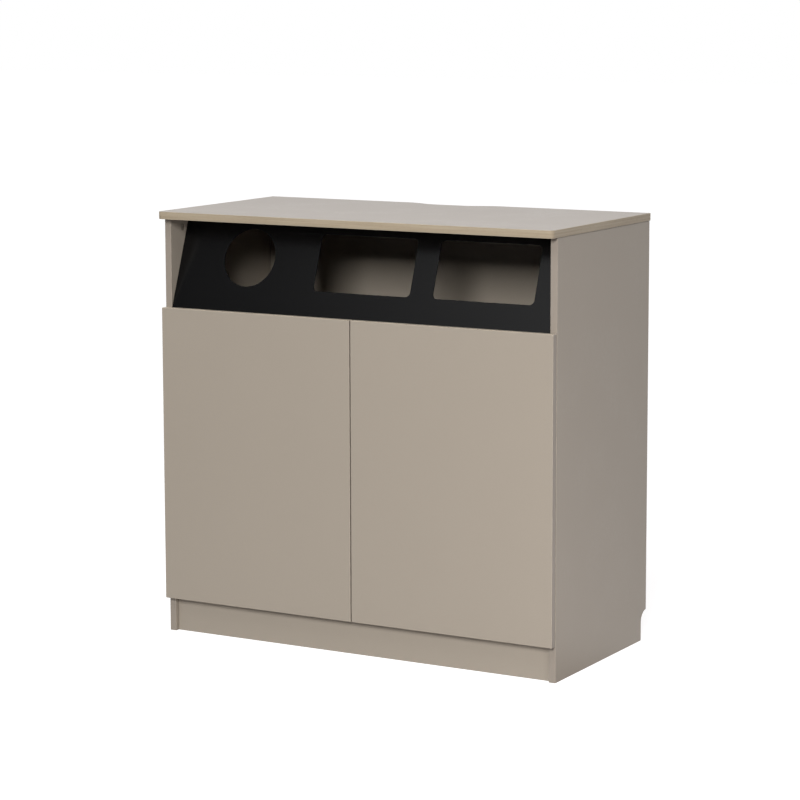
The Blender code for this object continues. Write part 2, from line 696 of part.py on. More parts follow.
def make_arm(word, hand, z):
    """The channel-shaped hinge arm: two cheeks and a web, open at the nose, with the link's pin across."""
    low = SIDE_IN - 2 * SEAT - PLATE_THICKNESS
    high = low - ARM_TAIL_HEIGHT
    shoulder, tail = SIDE_FRONT + ARM_SHOULDER, SIDE_FRONT + ARM_PIN_SETBACK + ARM_LENGTH
    nose = arc((ARM_PIN_X, ARM_PIN_Y), ARM_NOSE_RADIUS, 0, -180, 2 * CORNER_STEPS)
    outline = nose + [(high, shoulder), (high, tail), (low, tail), (low, shoulder)]
    inside = LINK_WIDTH / 2 + ARM_SIDE_CLEARANCE
    outside = inside + ARM_WALL
    place = Matrix.Translation((0, 0, z))
    arm = plate(f"{word}_hinge_arm", mirrored(outline, hand), 2 * outside, place, PLATED_STEEL)
    throat = ARM_PIN_Y + ARM_NOSE_RADIUS
    past = tail + CUTTER_REACH
    channel = [
        (low + CUTTER_REACH, ARM_PIN_Y - CUTTER_REACH),
        (ARM_PIN_X - CUTTER_REACH, ARM_PIN_Y - CUTTER_REACH),
        (ARM_PIN_X - CUTTER_REACH, throat),
        (ARM_PIN_X - ARM_NOSE_RADIUS + ARM_WALL, throat),
        (high + ARM_WALL, shoulder),
        (high + ARM_WALL, past),
        (low + CUTTER_REACH, past),
    ]
    cut(arm, plate(f"{word}_arm_channel", mirrored(channel, hand), 2 * inside, place))
    for screw, y in (("adjusting", shoulder + ARM_SCREW_MARGIN), ("fixing", tail - 2 * ARM_SCREW_MARGIN)):
        start = (hand * (high - CUTTER_REACH), y, z)
        stop = (hand * (high + 2 * ARM_WALL), y, z)
        cut(arm, rod(f"{word}_{screw}_screw_hole", ARM_SCREW_RADIUS, start, stop))
    pin_at = (hand * ARM_PIN_X, ARM_PIN_Y)
    reach = outside + SEAT
    join(arm, rod(f"{word}_arm_pin", PIN_RADIUS, (*pin_at, z - reach), (*pin_at, z + reach), PLATED_STEEL))
    return arm


def mirrored(outline, hand):
    return [(hand * x, y) for x, y in outline]


def make_hinge_plate(word, hand, z):
    """The winged mounting plate on the side panel, with the raised bar that the arm sits over."""
    middle = SIDE_FRONT + PLATE_SETBACK
    corner = PLATE_WING_WIDTH / 2 - SEAT
    wing = rounded_rectangle(PLATE_WING_WIDTH, PLATE_WING_LENGTH, corner, steps=SMALL_CORNER_STEPS)
    face = hand * (SIDE_IN - SEAT)
    wing_place = Matrix.Translation((face - hand * PLATE_THICKNESS / 2, middle, z)) @ SIDE_VIEW
    base = plate(f"{word}_hinge_plate", wing, PLATE_THICKNESS, wing_place, PLATED_STEEL)
    for end, half in (("lower", -PLATE_SCREW_SPACING / 2), ("upper", PLATE_SCREW_SPACING / 2)):
        start = (face + hand * SEAT, middle, z + half)
        stop = (face - hand * CUTTER_REACH, middle, z + half)
        cut(base, rod(f"{word}_{end}_plate_screw_hole", HINGE_SCREW_RADIUS, start, stop))
    tail = SIDE_FRONT + ARM_PIN_SETBACK + ARM_LENGTH
    bar_front = SIDE_FRONT + ARM_SHOULDER
    half = LINK_WIDTH / 2 + ARM_SIDE_CLEARANCE
    for part, height, half_width in (
        ("foot", PLATE_THICKNESS, half + ARM_WALL),
        ("bar", PLATE_THICKNESS + ARM_TAIL_HEIGHT - ARM_WALL, half - SEAT),
    ):
        outline = rounded_rectangle(tail - bar_front, 2 * half_width, half_width / 4, steps=BAR_CORNER_STEPS)
        place = (face - hand * height / 2, (bar_front + tail) / 2, z)
        turn = Matrix.Translation(place) @ SIDE_VIEW
        join(base, plate(f"{word}_plate_{part}", outline, height, turn, PLATED_STEEL))
    return base


def make_cam_fitting(name, face_point, inward, towards, host, mate):
    """A cam housing let into a board's face and the bolt that it draws, with their pockets and bores.

    inward points out of the host board's face, and towards points to the mating board.
    """
    inward, towards = Vector(inward), Vector(towards)
    axes = Matrix((towards, inward.cross(towards), inward)).transposed()
    place = Matrix.Translation(Vector(face_point)) @ axes.to_4x4()

    def at(along, out):
        return place @ Vector((along, 0, out))

    rim = SEAT
    profile = [(0, 0), (CAM_RADIUS - rim, 0), (CAM_RADIUS, -rim), (CAM_RADIUS, -CAM_DEPTH), (0, -CAM_DEPTH)]
    cam = turned(f"{name}_cam", profile, place, ZINC, steps=CAM_STEPS)
    slot = block(
        f"{name}_cam_slot",
        (-CAM_SLOT_LENGTH / 2, -CAM_SLOT_WIDTH / 2, -CAM_SLOT_DEPTH),
        (CAM_SLOT_LENGTH / 2, CAM_SLOT_WIDTH / 2, CAM_SLOT_DEPTH),
    )
    slot.matrix_basis = place
    cut(cam, slot)
    mid = -BOARD / 2
    thread_end = CAM_BACKSET + SEAT + BOLT_THREAD_LENGTH
    past_rim, past_edge = CAM_RADIUS + CUTTER_REACH, CAM_BACKSET + CUTTER_REACH
    pocket_floor, past_face = at(0, -CAM_DEPTH - SEAT), at(0, CUTTER_REACH)
    cut(host, rod(f"{name}_pocket", CAM_RADIUS + SEAT, pocket_floor, past_face, steps=CAM_STEPS))
    for board, part, radius, start, end in (
        (cam, "cam_mouth", BOLT_HEAD_RADIUS, at(-BOLT_HEAD_LENGTH, mid), at(past_rim, mid)),
        (host, "edge_bore", BOLT_SHANK_RADIUS, at(0, mid), at(past_edge, mid)),
        (mate, "thread_bore", BOLT_THREAD_RADIUS, at(CAM_BACKSET - SEAT, mid), at(thread_end + SEAT, mid)),
    ):
        cut(board, rod(f"{name}_{part}", radius + SEAT, start, end))
    neck_start = BOLT_HEAD_LENGTH / 2
    shank_start = neck_start + BOLT_NECK_LENGTH
    bolt_profile = [
        (0, thread_end),
        (BOLT_THREAD_RADIUS, thread_end),
        (BOLT_THREAD_RADIUS, CAM_BACKSET),
        (BOLT_SHANK_RADIUS, CAM_BACKSET - SEAT),
        (BOLT_SHANK_RADIUS, shank_start),
        (BOLT_NECK_RADIUS, shank_start),
        (BOLT_NECK_RADIUS, neck_start),
        (BOLT_HEAD_RADIUS, neck_start),
        (BOLT_HEAD_RADIUS, -neck_start),
        (0, -neck_start),
    ]
    along = towards.to_track_quat("Z", "Y").to_matrix().to_4x4()
    bolt_place = Matrix.Translation(at(0, mid)) @ along
    smooth(turned(f"{name}_cam_bolt", bolt_profile, bolt_place, PLATED_STEEL, steps=BOLT_STEPS))
    return cam


def make_fittings(top, sides, bottom):
    """Cams in the side panels for the top board, and under the bottom board for the side panels."""
    rows = (("front", SIDE_FRONT + CAM_FROM_FRONT), ("rear", BACK_FRONT - CAM_FROM_BACK))
    for word, hand, side in (("left", -1, sides[0]), ("right", 1, sides[1])):
        for row, y in rows:
            top_face = (hand * SIDE_IN, y, UNDER_TOP - CAM_BACKSET)
            make_cam_fitting(f"{word}_{row}_top", top_face, (-hand, 0, 0), (0, 0, 1), side, top)
            under = (hand * (SIDE_IN - CAM_BACKSET), y, PLINTH_HEIGHT)
            make_cam_fitting(f"{word}_{row}_bottom", under, (0, 0, -1), (hand, 0, 0), bottom, side)


def bin_ring(edit, inset, z):
    """A ring of points round the bin, this far inside its rim, at height z."""
    width, depth = BIN_WIDTH - 2 * inset, BIN_BACK - BIN_FRONT - 2 * inset
    radius = max(BIN_CORNER_RADIUS - inset, BIN_RIM)
    ring = rounded_rectangle(width, depth, radius, (0, (BIN_FRONT + BIN_BACK) / 2), BIN_CORNER_STEPS)
    return [edit.verts.new((x, y, z)) for x, y in ring]


def make_bin(name, x):
    """A tapered tub with a turned-down rim: rounded rings lofted from the floor to the lip, with a wall."""
    edit = bmesh.new()
    foot = BIN_RIM + BIN_TAPER
    heights = [
        (foot + BIN_FLOOR_ROUND, BIN_BOTTOM),
        (foot, BIN_BOTTOM + BIN_FLOOR_ROUND),
        (BIN_RIM, BIN_TOP - BIN_WALL),
        (BIN_WALL, BIN_TOP - BIN_WALL),
        (BIN_WALL, BIN_TOP - BIN_LIP),
    ]
    rings = [bin_ring(edit, inset, z) for inset, z in heights]
    edit.faces.new(rings[0][::-1])
    for below, above in zip(rings, rings[1:]):
        count = len(below)
        for index in range(count):
            after = (index + 1) % count
            edit.faces.new((below[index], below[after], above[after], above[index]))
    tub = add(name, mesh_from(name, edit), BIN_PLASTIC)
    tub.location.x = x
    wall = tub.modifiers.new("wall", "SOLIDIFY")
    wall.thickness = BIN_WALL
    wall.offset = -1
    wall.use_even_offset = True
    smooth(tub)
    return tub


def make_cabinet():
    top = make_top()
    sides = [make_side("left_side_panel", -1), make_side("right_side_panel", 1)]
    bottom, back, plinth = make_boards()
    make_dowels(sides, back, plinth)
    make_sorting_panel(sides)
    for word, hand in (("left", -1), ("right", 1)):
        door_axis = pivot(f"{word}_door_axis", hand * CUP_PIN_X, CUP_PIN_Y)
        link_axis = pivot(f"{word}_link_axis", hand * ARM_PIN_X, ARM_PIN_Y)
        make_door(f"{word}_door", hand, door_axis, link_axis, word)
    make_fittings(top, sides, bottom)
    for index, name in enumerate(("round_slot_bin", "middle_bin", "right_bin")):
        make_bin(name, (index - 1) * BIN_PITCH)


make_cabinet()
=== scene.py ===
"""Looks of the waste-sorting cabinet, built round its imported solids.

Lengths are in metres. +X is to the right, -Y is the front and +Z is up. Boards, bolts, dowels and the lower
cams keep their solids and get their finishes here. The sorting panel and the hinge parts are shown by smooth
copies of their solids. The wood-look edging, the bins, the door bumpers, the screws and the upper cams are
made here as finer surfaces.
"""

import json
import math

import bmesh
import bpy
import numpy as np
from mathutils import Matrix, Vector


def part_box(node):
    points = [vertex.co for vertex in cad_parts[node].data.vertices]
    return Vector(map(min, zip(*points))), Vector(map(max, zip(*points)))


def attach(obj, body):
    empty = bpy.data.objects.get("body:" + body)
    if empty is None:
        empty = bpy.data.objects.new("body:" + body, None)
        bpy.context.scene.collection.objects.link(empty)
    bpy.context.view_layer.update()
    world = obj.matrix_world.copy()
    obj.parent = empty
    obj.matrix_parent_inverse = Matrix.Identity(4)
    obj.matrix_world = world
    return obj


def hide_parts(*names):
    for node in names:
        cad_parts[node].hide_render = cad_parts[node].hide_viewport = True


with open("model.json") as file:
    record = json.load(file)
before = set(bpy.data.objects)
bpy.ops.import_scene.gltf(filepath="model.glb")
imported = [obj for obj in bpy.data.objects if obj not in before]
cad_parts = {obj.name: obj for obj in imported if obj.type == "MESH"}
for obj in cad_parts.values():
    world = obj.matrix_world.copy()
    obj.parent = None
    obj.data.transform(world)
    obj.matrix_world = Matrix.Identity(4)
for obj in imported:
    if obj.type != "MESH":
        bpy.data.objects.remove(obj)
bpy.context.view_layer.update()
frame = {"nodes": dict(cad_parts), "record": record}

# Camera, for a square picture
LENS = 122.43
SENSOR = 36.0
CAMERA_PLACE = (3.0279, -5.3076, 1.5009)
CAMERA_YAW = math.radians(29.760)
CAMERA_PITCH = math.radians(7.692)
CAMERA_ROLL = math.radians(-0.146)
CAMERA_SHIFT = -0.07

# Room: its levels, and the directions between which they change, as parts of a unit vector
WHITE = (1.0, 1.0, 1.0)
ROOM_TINT = (1.0, 0.945, 0.96)
ROOM_LIGHT = 0.6
ROOM_WHITE = 1.0
ROOM_FRONT = 0.02
ROOM_LAMP_SIDE = 0.8
ROOM_WINDOW = 1.8
ROOM_DIM_REACH = (-0.35, 0.4)
ROOM_LEFT_REACH = (-0.45, -0.8)
LAMP_SIDE_REACH = (-0.53, -0.43)
WINDOW_RISE = (0.2, 0.35)
WINDOW_FRONT = (-0.3, -0.55)

# Floor, which changes between two distances from the cabinet
FLOOR_WIDTH = 60.0
FLOOR_COLOUR = 0.5
FLOOR_FAR = 0.1
FLOOR_GLOW = 0.8
FLOOR_REACH = (1.0, 2.6)

# Lamps, with their power in watts and whether gloss shows them
LAMP_AIM = (0.0, -0.1, 0.5)
LAMPS = {
    "front_softbox": {
        "place": (2.85, -7.44, 3.78), "size": (2.2, 2.2), "power": 618.0, "colour": WHITE, "mirrored": False,
    },
    "right_softbox": {
        "place": (1.35, -1.0, 0.3), "size": (0.6, 0.5), "power": 3.0, "colour": ROOM_TINT, "mirrored": True,
    },
    "top_softbox": {
        "place": (0.0, -2.2, 3.9), "size": (2.0, 1.4), "power": 40.0, "colour": WHITE, "mirrored": True,
    },
}

# Finishes, as linear colours
TAUPE = (0.344, 0.300, 0.248)
# The pale arris colour is partly rubbed edges and partly a painted highlight on the edges and the doors'
# upper faces.
TAUPE_ARRIS = (0.62, 0.54, 0.43)
TAUPE_SEAM = (0.25, 0.215, 0.17)
TAUPE_EDGING = (0.295, 0.256, 0.216)
TOP_TAUPE = (0.413, 0.371, 0.328)
BAND_PALE = (0.385, 0.320, 0.232)
BAND_DARK = (0.285, 0.227, 0.155)
# Pale band arris: partly whitened by trimming, partly a painted highlight.
BAND_ARRIS = (0.52, 0.46, 0.355)
COAT_BLACK = (0.0017, 0.0017, 0.0019)
NICKEL = (0.70, 0.68, 0.65)
ZINC = (0.56, 0.52, 0.45)
BEECH_PALE = (0.60, 0.43, 0.26)
BEECH_DARK = (0.46, 0.30, 0.17)
BIN_GREY = (0.040, 0.042, 0.045)
BUMPER_CLEAR = (0.80, 0.80, 0.78)

# Noise in the finishes: the size of its cells, the same all round or along x, y and z, and its detail
SMUDGE_BROAD = (0.12, 3.0)
SMUDGE_FINE = (0.011, 2.0)
LAMINATE_PEARL = (0.0007, 1.0)
LAMINATE_DRIFT = (0.16, 2.0)
LAMINATE_SPECK = (0.0018, 1.0)
# The next two break up the pale arrises and upper faces, which are painted highlight as well as rubbing.
ARRIS_WEAR_AND_HIGHLIGHT = (0.012, 3.0)
UPPER_EDGE_WEAR_AND_HIGHLIGHT = (0.05, 3.0)
WOOD_BANDS = ((0.22, 0.0035, 0.0035), 3.0)
WOOD_PORES = ((0.014, 0.0005, 0.0005), 2.0)
WOOD_RAYS = ((0.004, 0.0012, 0.0012), 1.0)
# Uneven pale arrises of the edging, partly a painted highlight.
TRIM_AND_HIGHLIGHT_UNEVEN = ((0.03, 0.004, 0.004), 2.0)
METAL_CLOUD = (0.009, 3.0)
SCRATCH_DETAIL = 2.0
NICKEL_GRAIN = (0.0006, 0.004, 0.012)
ZINC_GRAIN = (0.0015, 0.0015, 0.0015)
COAT_PEEL = (0.0014, 1.0)
COAT_SPECK = (0.0004, 1.0)
BIN_TEXTURE = (0.0009, 2.0)
BIN_DRAWN = ((0.006, 0.006, 0.15), 3.0)
BUMPER_CLOUD = (0.003, 2.0)

# Masks: where the noise or the distance starts and ends, and the levels there if they aren't 0 and 1
SMUDGE_BROAD_MASK = (0.42, 0.68)
SMUDGE_FINE_MASK = (0.3, 0.7)
ARRIS_REACH = (0.0016, 0.0004)
ARRIS_WEAR_AND_HIGHLIGHT_MASK = (0.25, 0.65, 0.6, 1.0)
SEAM_INSET = 0.0011
SEAM_REACH = (0.00022, 0.00006)
BROAD_FACE_REACH = (0.0005, 0.0002)
# The upper-edge reach and mask place a pale upper face: partly rubbing by hands, partly a painted highlight.
UPPER_EDGE_REACH = (0.0007, 0.0003)
UPPER_EDGE_WEAR_AND_HIGHLIGHT_MASK = (0.3, 0.6, 0.7, 1.0)
WOOD_BAND_MASK = (0.3, 0.7)
WOOD_PORE_MASK = (0.5, 0.75)
WOOD_RAY_MASK = (0.55, 0.75)
TRIM_AND_HIGHLIGHT_MASK = (0.25, 0.7, 0.45, 0.9)
SCUFF_MASK = (0.55, 0.75)

# Tones and roughnesses that follow noise: the middle, and the swing to both sides of it
LAMINATE_DRIFT_TONE = (0.5, 0.012)
LAMINATE_SPECK_TONE = (0.5, 0.03)
LAMINATE_ROUGHNESS = (0.43, 0.05)
METAL_TONE = (0.95, 0.12)
SCRATCH_ROUGHNESS = (0.0, 0.1)
BAND_ROUGHNESS = (0.5, 0.06)
COAT_TONE = (1.0, 0.35)
COAT_ROUGHNESS = (0.22, 0.04)
BEECH_ROUGHNESS = (0.7, 0.05)
BIN_TONE = (0.95, 0.12)
BIN_ROUGHNESS = (0.5, 0.06)
BUMPER_TONE = (0.95, 0.1)
BUMPER_ROUGHNESS = (0.3, 0.12)

# Shares and plain values of the finishes
LAMINATE_SMUDGE_ROUGHNESS = -0.06
LAMINATE_GLOSS = 0.4
# Shares of pale arris and pale upper face: partly rubbing, partly a painted highlight.
BOARD_WEAR_AND_HIGHLIGHT = {"arris": 0.15, "upper_edge": 0.0}
DOOR_WEAR_AND_HIGHLIGHT = {"arris": 0.35, "upper_edge": 0.9}
SEAM_SHARE = 0.55
SEAM_SUNK = 2.0
PORE_SHARE = 0.6
BAND_SHARE = 0.55
RAY_SHARE = -0.12
METAL_SMUDGE_ROUGHNESS = 0.06
NICKEL_ROUGHNESS = 0.27
ZINC_ROUGHNESS = 0.42
COAT_GLOSS = 0.22
SCUFF_TONE = 0.9
SCUFF_ROUGHNESS = 0.12
BUMPER_TRANSMISSION = 0.6
BUMPER_IOR = 1.45

# Depth of the bumps
BUMP_STRENGTH = 0.5
LAMINATE_BUMP = 0.00004
BAND_BUMP = 0.00004
COAT_BUMP = 0.00006
METAL_BUMP = 0.00002
BEECH_BUMP = 0.00006
BIN_BUMP = 0.00008
BUMPER_BUMP = 0.00003

# Edging round the top board
BAND_THICKNESS = 0.0015
BAND_CORNER_RADIUS = 0.012
BAND_ARRIS_RADIUS = 0.0007
BAND_ARRIS_SHOWN = 0.7
BAND_CORNER_STEPS = 16
BAND_ARRIS_STEPS = 5

# Bins: the bead is a share of the wall, and the belly and the neck lie this far below the rim
BIN_WALL = 0.0025
BIN_BEAD = 0.45
BIN_RIM = 0.007
BIN_TAPER = 0.016
BIN_LIP = 0.016
BIN_BELLY = 0.0004
BIN_BELLY_DROP = 0.09
BIN_NECK_DROP = 0.012
BIN_CORNER_RADIUS = 0.034
BIN_FLOOR_ROUND = 0.008
BIN_CORNER_STEPS = 12
BIN_ROUND_STEPS = 5

# Pressed and cast metal: how near the solids' points are joined, and how the upper cams are sunk
JOIN_DISTANCE = 0.000001
CAM_SUNK = 0.0025
CAM_PRESSED = 0.2
CAM_SLOT_FLOOR = 0.00305

# Hinges, as far as their screws need them
CUP_SCREW_SPACING = 0.045
CUP_SCREW_INSET = 0.0095
CUP_RIM_RAISE = 0.0004
PLATE_SCREW_SPACING = 0.032
PLATE_SETBACK = 0.037
PLATE_THICKNESS = 0.002
ARM_SCREW_MARGIN = 0.006

# Screws, and by how many turns the next one is turned on
CUP_SCREW = {"head": 0.0032, "height": 0.0018, "shank": 0.0017, "length": 0.0008}
PLATE_SCREW = {"head": 0.0032, "height": 0.0018, "shank": 0.0017, "length": 0.0015}
ARM_SCREW = {"head": 0.0027, "height": 0.0021, "shank": 0.0017, "length": 0.0003}
PANEL_SCREW = {"height": 0.0022, "shank": 0.0018, "length": 0.0122}
CUP_SCREW_TURN = 0.11
PLATE_SCREW_TURN = 0.07
ARM_SCREW_TURN = 0.17

# Screw heads, as shares of their radius and of their height
SCREW_COLUMNS = 40
HEAD_FACE = np.linspace(0.05, 0.8, 14)
HEAD_RIM = (0.88, 0.94, 0.98, 1.0, 1.0, 0.98)
HEAD_CROWN = 0.35
HEAD_SKIRT = (0.5, 0.12, 0.0)
CROSS_WIDTH = 0.16
CROSS_WIDTH_SOFT = 0.06
CROSS_LENGTH = 0.62
CROSS_LENGTH_SOFT = 0.08
CROSS_DEPTH = 0.55
CROSS_RISE = 0.5
SCREW_TIP = 0.4

# Bumpers
BUMPER_COLUMNS = 32
BUMPER_ROWS = 12
BUMPER_CENTRE = 0.04
BUMPER_SKIRT = 0.25
BUMPER_POWER = 4

# The least angle of a crease, in degrees
SURFACE_CREASE = 40
BIN_CREASE = 50
SCREW_CREASE = 35
PRESSED_CREASE = 32

# Names
BODY_OF = {node: body for body, nodes in frame["record"]["behaviour"]["bodies"].items() for node in nodes}
BOARDS = ("left_side_panel", "right_side_panel", "back_panel", "bottom_board", "plinth_board")
DOORS = ("left_door", "right_door")
BINS = ("round_slot_bin", "middle_bin", "right_bin")
HINGE_PIECES = ("_hinge_cup", "_hinge_link", "_hinge_arm", "_hinge_plate")
HANDS = (("left", -1), ("right", 1))
ROWS = ("front", "rear")
LEVELS = ("lower", "upper")
VALUE, COLOUR, VECTOR = "NodeSocketFloat", "NodeSocketColor", "NodeSocketVector"
TAU = 2 * math.pi


def wire(tree, socket, value):
    """Joins an output to a socket, or sets the socket's own value."""
    if isinstance(value, bpy.types.NodeSocket):
        tree.links.new(value, socket)
    elif socket.type == "RGBA":
        socket.default_value = (*value, 1.0)
    else:
        socket.default_value = value


def add_node(tree, kind, inputs=None, **settings):
    """Places a node with its settings and with what feeds its inputs, by name or by number."""
    node = tree.nodes.new(kind)
    for name, value in settings.items():
        setattr(node, name, value)
    for name, value in (inputs or {}).items():
        wire(tree, node.inputs[name], value)
    return node


def maths(tree, operation, *terms, clamp=False):
    inputs = dict(enumerate(terms))
    return add_node(tree, "ShaderNodeMath", inputs, operation=operation, use_clamp=clamp).outputs[0]


def vectors(tree, operation, *terms):
    node = add_node(tree, "ShaderNodeVectorMath", dict(enumerate(terms)), operation=operation)
    return node.outputs["Value" if operation in ("DOT_PRODUCT", "LENGTH") else "Vector"]


def split(tree, vector):
    """A vector's x, y and z."""
    return add_node(tree, "ShaderNodeSeparateXYZ", {0: vector}).outputs


def ramp(tree, value, start, end, low=0.0, high=1.0):
    """Runs smoothly from low to high while the value goes from start to end, and stays level beyond them."""
    inputs = {"Value": value, "From Min": start, "From Max": end, "To Min": low, "To Max": high}
    node = add_node(tree, "ShaderNodeMapRange", inputs, interpolation_type="SMOOTHSTEP")
    return node.outputs["Result"]


def mix_values(tree, share, first, second):
    return add_node(tree, "ShaderNodeMix", {0: share, 2: first, 3: second}).outputs[0]


def mix_colours(tree, share, first, second):
    return add_node(tree, "ShaderNodeMix", {0: share, 6: first, 7: second}, data_type="RGBA").outputs[2]


def tint(tree, colour, factor):
    """A colour made lighter or darker by a factor that varies over the surface."""
    grey = add_node(tree, "ShaderNodeCombineXYZ", dict.fromkeys(range(3), factor)).outputs[0]
    return vectors(tree, "MULTIPLY", colour, grey)


def mottle(tree, place, cell, detail):
    """Noise with cells of this size, all round or along x, y and z."""
    if isinstance(cell, float):
        cell = (cell,) * 3
    stretched = vectors(tree, "DIVIDE", place, cell)
    node = add_node(tree, "ShaderNodeTexNoise", {"Vector": stretched, "Scale": 1.0, "Detail": detail})
    return node.outputs["Fac"]


def around(tree, value, middle, swing):
    """Noise that runs from 0 to 1, turned into a value that swings this far to both sides of its middle."""
    return maths(tree, "MULTIPLY_ADD", value, 2 * swing, middle - swing)


def shader_group(name, inputs, outputs):
    """An empty group with these named sockets; gives the tree, what comes in and what goes out."""
    tree = bpy.data.node_groups.new(name, "ShaderNodeTree")
    for direction, sockets in (("INPUT", inputs), ("OUTPUT", outputs)):
        for label, kind in sockets.items():
            tree.interface.new_socket(label, in_out=direction, socket_type=kind)
    return tree, tree.nodes.new("NodeGroupInput").outputs, tree.nodes.new("NodeGroupOutput").inputs


def use_group(tree, group, inputs):
    """Places a group and gives what comes out of it."""
    return add_node(tree, "ShaderNodeGroup", inputs, node_tree=group).outputs


def smudge_group():
    """Handling marks: broad soft patches broken up by finer ones, as a mask from 0 to 1."""
    tree, given, made = shader_group("handling_marks", {"Place": VECTOR}, {"Mask": VALUE})
    broad = ramp(tree, mottle(tree, given["Place"], *SMUDGE_BROAD), *SMUDGE_BROAD_MASK)
    fine = ramp(tree, mottle(tree, given["Place"], *SMUDGE_FINE), *SMUDGE_FINE_MASK)
    wire(tree, made["Mask"], maths(tree, "MULTIPLY", broad, fine))
    return tree


def laminate_group():
    """Melamine facing: a printed colour with a faint drift, and a fine pearl texture pressed into it."""
    inputs = {"Place": VECTOR, "Colour": COLOUR}
    outputs = {"Colour": COLOUR, "Roughness": VALUE, "Height": VALUE}
    tree, given, made = shader_group("pressed_laminate", inputs, outputs)
    place = given["Place"]
    pearl = mottle(tree, place, *LAMINATE_PEARL)
    drift = around(tree, mottle(tree, place, *LAMINATE_DRIFT), *LAMINATE_DRIFT_TONE)
    speck = around(tree, mottle(tree, place, *LAMINATE_SPECK), *LAMINATE_SPECK_TONE)
    wire(tree, made["Colour"], tint(tree, given["Colour"], maths(tree, "ADD", drift, speck)))
    smudge = use_group(tree, SMUDGES, {"Place": place})["Mask"]
    rough = around(tree, pearl, *LAMINATE_ROUGHNESS)
    wire(tree, made["Roughness"], maths(tree, "MULTIPLY_ADD", smudge, LAMINATE_SMUDGE_ROUGHNESS, rough))
    wire(tree, made["Height"], pearl)
    return tree


def board_edge_group():
    """Where a board's edging shows, from a point's distances to the six planes of the board's box.

    The middle one of the distances along the three axes is how far the point is from the nearest edge of its
    face. Arris is 1 at that edge, broken up by noise, and marks pale edges that are partly rubbed and partly
    a painted highlight. Seam is 1 on the broad faces where they meet the edging's thickness. Edging is 1 on
    the narrow faces. The upper-edge mask is 1 on the upper face and just below it, where hands pull, and
    marks a pale face that is partly rubbed and partly a painted highlight.
    """
    inputs = dict.fromkeys(("Place", "Low", "High", "Thin"), VECTOR)
    outputs = dict.fromkeys(("Arris", "Seam", "Edging", "Upper Edge"), VALUE)
    tree, given, made = shader_group("board_edges", inputs, outputs)
    place = given["Place"]
    from_low = vectors(tree, "SUBTRACT", place, given["Low"])
    from_high = vectors(tree, "SUBTRACT", given["High"], place)
    depth = vectors(tree, "MINIMUM", from_low, from_high)
    x, y, z = split(tree, depth)
    lesser, greater = maths(tree, "MINIMUM", x, y), maths(tree, "MAXIMUM", x, y)
    edge = maths(tree, "MAXIMUM", lesser, maths(tree, "MINIMUM", greater, z))
    worn_and_highlit = ramp(tree, mottle(tree, place, *ARRIS_WEAR_AND_HIGHLIGHT), *ARRIS_WEAR_AND_HIGHLIGHT_MASK)
    wire(tree, made["Arris"], maths(tree, "MULTIPLY", ramp(tree, edge, *ARRIS_REACH), worn_and_highlit))
    broad = ramp(tree, vectors(tree, "DOT_PRODUCT", depth, given["Thin"]), *BROAD_FACE_REACH)
    off_seam = maths(tree, "ABSOLUTE", maths(tree, "SUBTRACT", edge, SEAM_INSET))
    wire(tree, made["Seam"], maths(tree, "MULTIPLY", ramp(tree, off_seam, *SEAM_REACH), broad))
    wire(tree, made["Edging"], maths(tree, "SUBTRACT", 1.0, broad))
    upper = ramp(tree, split(tree, from_high)["Z"], *UPPER_EDGE_REACH)
    handled_and_highlit = ramp(tree, mottle(tree, place, *UPPER_EDGE_WEAR_AND_HIGHLIGHT), *UPPER_EDGE_WEAR_AND_HIGHLIGHT_MASK)
    wire(tree, made["Upper Edge"], maths(tree, "MULTIPLY", upper, handled_and_highlit))
    return tree


def wood_group():
    """Wood figure along x: long streaks, fine pores and short rays, as one mask from pale to dark."""
    tree, given, made = shader_group("wood_figure", {"Place": VECTOR}, {"Figure": VALUE, "Height": VALUE})
    place = given["Place"]
    bands = ramp(tree, mottle(tree, place, *WOOD_BANDS), *WOOD_BAND_MASK)
    pores = ramp(tree, mottle(tree, place, *WOOD_PORES), *WOOD_PORE_MASK)
    rays = ramp(tree, mottle(tree, place, *WOOD_RAYS), *WOOD_RAY_MASK)
    streaks = maths(tree, "MULTIPLY", pores, PORE_SHARE)
    figure = maths(tree, "MULTIPLY_ADD", bands, BAND_SHARE, streaks)
    wire(tree, made["Figure"], maths(tree, "MULTIPLY_ADD", rays, RAY_SHARE, figure, clamp=True))
    wire(tree, made["Height"], maths(tree, "SUBTRACT", 1.0, streaks))
    return tree


def metal_group():
    """Plated or cast metal: cloudy tone, drawn scratches along Grain and a rougher patch here and there."""
    inputs = {"Place": VECTOR, "Colour": COLOUR, "Grain": VECTOR, "Roughness": VALUE}
    outputs = {"Colour": COLOUR, "Roughness": VALUE, "Height": VALUE}
    tree, given, made = shader_group("worked_metal", inputs, outputs)
    place = given["Place"]
    cloud = around(tree, mottle(tree, place, *METAL_CLOUD), *METAL_TONE)
    wire(tree, made["Colour"], tint(tree, given["Colour"], cloud))
    scratches = mottle(tree, place, given["Grain"], SCRATCH_DETAIL)
    smudge = use_group(tree, SMUDGES, {"Place": place})["Mask"]
    drawn = around(tree, scratches, *SCRATCH_ROUGHNESS)
    swing = maths(tree, "MULTIPLY_ADD", smudge, METAL_SMUDGE_ROUGHNESS, drawn)
    wire(tree, made["Roughness"], maths(tree, "ADD", given["Roughness"], swing, clamp=True))
    wire(tree, made["Height"], scratches)
    return tree


SMUDGES = smudge_group()
LAMINATE = laminate_group()
BOARD_EDGES = board_edge_group()
WOOD = wood_group()
METAL = metal_group()


def new_finish(name):
    """A material with a Principled shader; gives its tree, its shader and the place on the piece."""
    material = bpy.data.materials.new(name)
    material.use_nodes = True
    tree = material.node_tree
    place = add_node(tree, "ShaderNodeTexCoord").outputs["Object"]
    return material, tree, tree.nodes["Principled BSDF"], place


